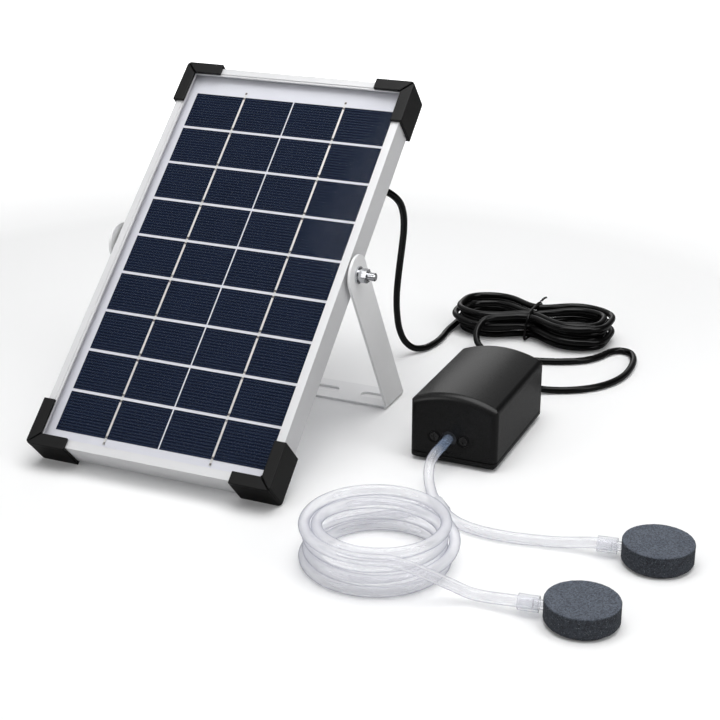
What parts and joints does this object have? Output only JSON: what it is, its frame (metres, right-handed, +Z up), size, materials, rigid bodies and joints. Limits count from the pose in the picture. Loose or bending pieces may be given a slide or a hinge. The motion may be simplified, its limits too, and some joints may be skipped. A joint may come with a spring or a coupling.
{
  "type": "solar pond aerator",
  "caption": "Tilting solar panel on a bent bracket, with a diaphragm air pump, air stones, coiled tube and bundled cable.",
  "frame": {"origin": "centre of the bracket's base strip, at its underside, on the ground", "axes": "+X along the panel's width, +Y towards the back of the panel, +Z up"},
  "size_m": [0.3897, 0.4169, 0.2025],
  "materials": {
    "anodised_frame": "satin clear anodised",
    "cap_plastic": "fine matte",
    "panel_glass": "clear, low iron",
    "solar_cell": "dark blue coated silicon",
    "tinned_ribbon": "bright tinned",
    "backsheet_film": "white film",
    "box_plastic": "matte",
    "zinc_steel": "bright zinc plated",
    "bracket_aluminium": "satin",
    "pump_plastic": "semi-gloss",
    "black_rubber": "matte",
    "inner_plastic": "matte",
    "black_steel": "blackened",
    "valve_plastic": "natural",
    "magnet_ferrite": "matte",
    "bronze": "plain",
    "board": "lacquered",
    "filter_felt": "felted",
    "clear_tube": "milky clear, soft",
    "air_stone": "granular",
    "cable_jacket": "smooth",
    "tie_plastic": "smooth",
    "core_steel": "laminated",
    "copper_wire": "enamelled"
  },
  "bodies": {
    "stand": {"bracket": "bracket_aluminium", "pump_cover": "pump_plastic", "pump_base": "pump_plastic", "pump_feet": "black_rubber", "base_screws": "zinc_steel", "cord_grommet": "black_rubber", "pump_head": "inner_plastic", "head_screws": "black_steel", "valve_plate": "valve_plastic", "valve_flaps": "black_rubber", "diaphragm": "black_rubber", "pump_chassis": "inner_plastic", "motor_can": "zinc_steel", "motor_magnets": "magnet_ferrite", "motor_bushes": "bronze", "motor_end_cap": "valve_plastic", "motor_brushes": "bronze", "circuit_board": "board", "air_filter": "filter_felt", "supply_tube": "clear_tube", "tube_tee": "clear_tube", "far_tube": "clear_tube", "coil_link": "clear_tube", "tube_coil": "clear_tube", "near_tube": "clear_tube", "tube_sleeves": "clear_tube", "stone_nipples": "clear_tube", "air_stone_near": "air_stone", "air_stone_far": "air_stone", "cable_drop": "cable_jacket", "cable_hank": "cable_jacket", "cable_tie": "tie_plastic", "cable_pump_run": "cable_jacket"},
    "panel": {"frame_left": "anodised_frame", "frame_right": "anodised_frame", "frame_top": "anodised_frame", "frame_bottom": "anodised_frame", "corner_cap_top_left": "cap_plastic", "corner_cap_top_right": "cap_plastic", "corner_cap_bottom_left": "cap_plastic", "corner_cap_bottom_right": "cap_plastic", "panel_glass": "panel_glass", "solar_cells": "solar_cell", "cell_ribbons": "tinned_ribbon", "backsheet": "backsheet_film", "junction_box": "box_plastic", "junction_lid": "box_plastic", "lid_screws": "zinc_steel", "cable_gland": "box_plastic", "pivot_bolts": "zinc_steel", "pivot_spacers": "cap_plastic", "pivot_washers": "zinc_steel", "pivot_nuts": "zinc_steel"},
    "rotor": {"motor_shaft": "zinc_steel", "armature_core": "core_steel", "armature_windings": "copper_wire", "commutator": "bronze", "crank": "bronze"},
    "rod": {"connecting_rod": "valve_plastic", "diaphragm_clamp": "zinc_steel"}
  },
  "joints": [
    {"name": "panel_tilt", "type": "hinge", "parent": "stand", "child": "panel", "pos_m": [0, -0.06083, 0.10536], "axis": [-1, 0, 0], "range_deg": [0, 75], "deforming": ["cable_drop"]},
    {"name": "motor_spin", "type": "hinge", "parent": "stand", "child": "rotor", "pos_m": [0.161, -0.0392, 0.0172], "axis": [1, 0, 0], "continuous": true, "deforming": ["diaphragm"]},
    {"name": "rod_pivot", "type": "hinge", "parent": "rotor", "child": "rod", "pos_m": [0.1465, -0.0382, 0.0172], "axis": [1, 0, 0], "continuous": true, "deforming": ["diaphragm"]}
  ],
  "couplings": [
    {"joint": "rod_pivot", "follows": "motor_spin", "ratio": -1}
  ]
}
